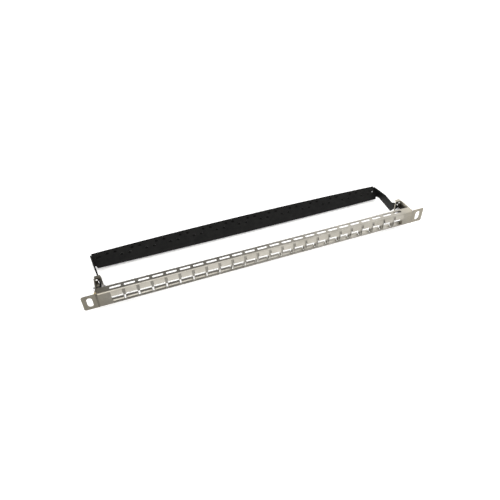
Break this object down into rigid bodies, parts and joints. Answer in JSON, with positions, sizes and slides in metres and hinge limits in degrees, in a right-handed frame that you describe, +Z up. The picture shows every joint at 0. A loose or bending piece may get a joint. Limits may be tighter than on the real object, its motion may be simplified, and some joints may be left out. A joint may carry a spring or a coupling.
{
  "type": "patch panel",
  "caption": "Half-height 19-inch rack patch panel of bent stainless sheet with empty keystone openings and a tilting perforated rear cable bar.",
  "frame": {"origin": "centre of the footprint, at the lowest level of the assembly", "axes": "+X along the panel to the right seen from the front, +Y from the face to the cable bar, +Z up"},
  "size_m": [0.4826, 0.1084, 0.0344],
  "materials": {
    "stainless_sheet": "satin",
    "black_powder_coat": "matte",
    "zinc_plated_steel": "satin",
    "black_nylon": "matte",
    "plated_brass": "satin"
  },
  "bodies": {
    "panel": {"front_panel": "stainless_sheet", "bracket_left": "stainless_sheet", "bracket_right": "stainless_sheet", "pivot_screw_left": "zinc_plated_steel", "pivot_washer_outer_left": "zinc_plated_steel", "pivot_washer_inner_left": "zinc_plated_steel", "pivot_nut_left": "zinc_plated_steel", "pivot_spacer_left": "black_nylon", "pivot_screw_right": "zinc_plated_steel", "pivot_washer_outer_right": "zinc_plated_steel", "pivot_washer_inner_right": "zinc_plated_steel", "pivot_nut_right": "zinc_plated_steel", "pivot_spacer_right": "black_nylon", "earth_screw": "plated_brass", "earth_washer": "plated_brass", "earth_nut": "plated_brass"},
    "bar": {"cable_bar": "black_powder_coat"}
  },
  "joints": [
    {"name": "cable bar tilt", "type": "hinge", "parent": "panel", "child": "bar", "pos_m": [0, -0.03056, 0.0224], "axis": [1, 0, 0], "range_deg": [-15, 15]}
  ]
}
